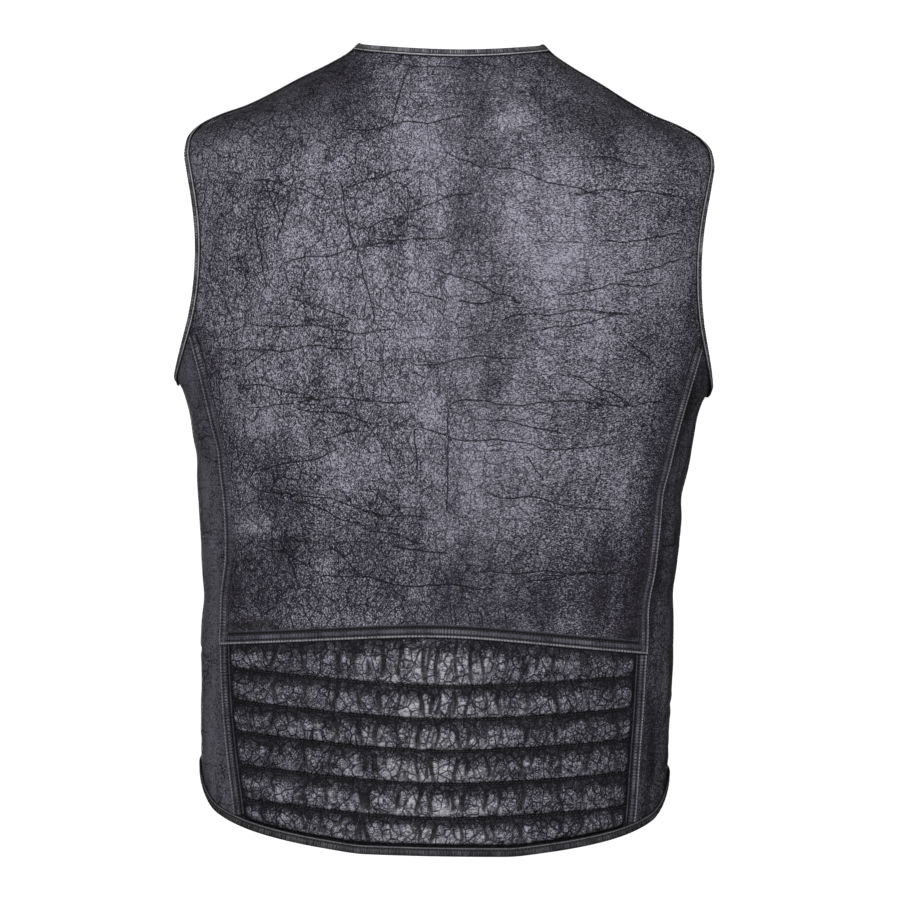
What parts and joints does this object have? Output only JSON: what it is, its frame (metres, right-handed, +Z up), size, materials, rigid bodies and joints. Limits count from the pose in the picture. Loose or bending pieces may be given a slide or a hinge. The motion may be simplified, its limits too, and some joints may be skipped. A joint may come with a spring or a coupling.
{
  "type": "leather vest",
  "caption": "Collarless sleeveless leather vest, filled out, with a ribbed padded lower back, bound edges and a snapped lapped front.",
  "frame": {"origin": "middle of the neck opening, level with the top of the neck binding at the shoulder seams, where the wearer holds it up", "axes": "+Z up, the front of the vest faces -Y and the back +Y, the wearer's left is +X"},
  "size_m": [0.458, 0.245, 0.6829],
  "materials": {
    "back_leather": "distressed charcoal with a worn, cloudy grain",
    "front_leather": "smoother and darker than the back",
    "binding_leather": "thin leather strip, gathered a little across",
    "stud_metal": "dark plated"
  },
  "bodies": {
    "root": {"back_panel": "back_leather", "lower_back_panel": "back_leather", "front_left": "front_leather", "front_right": "front_leather", "neck_binding": "binding_leather", "hem_binding": "binding_leather", "armhole_binding_left": "binding_leather", "armhole_binding_right": "binding_leather", "press_stud_1": "stud_metal", "press_stud_2": "stud_metal", "press_stud_3": "stud_metal", "press_stud_4": "stud_metal", "press_stud_5": "stud_metal"}
  },
  "joints": []
}
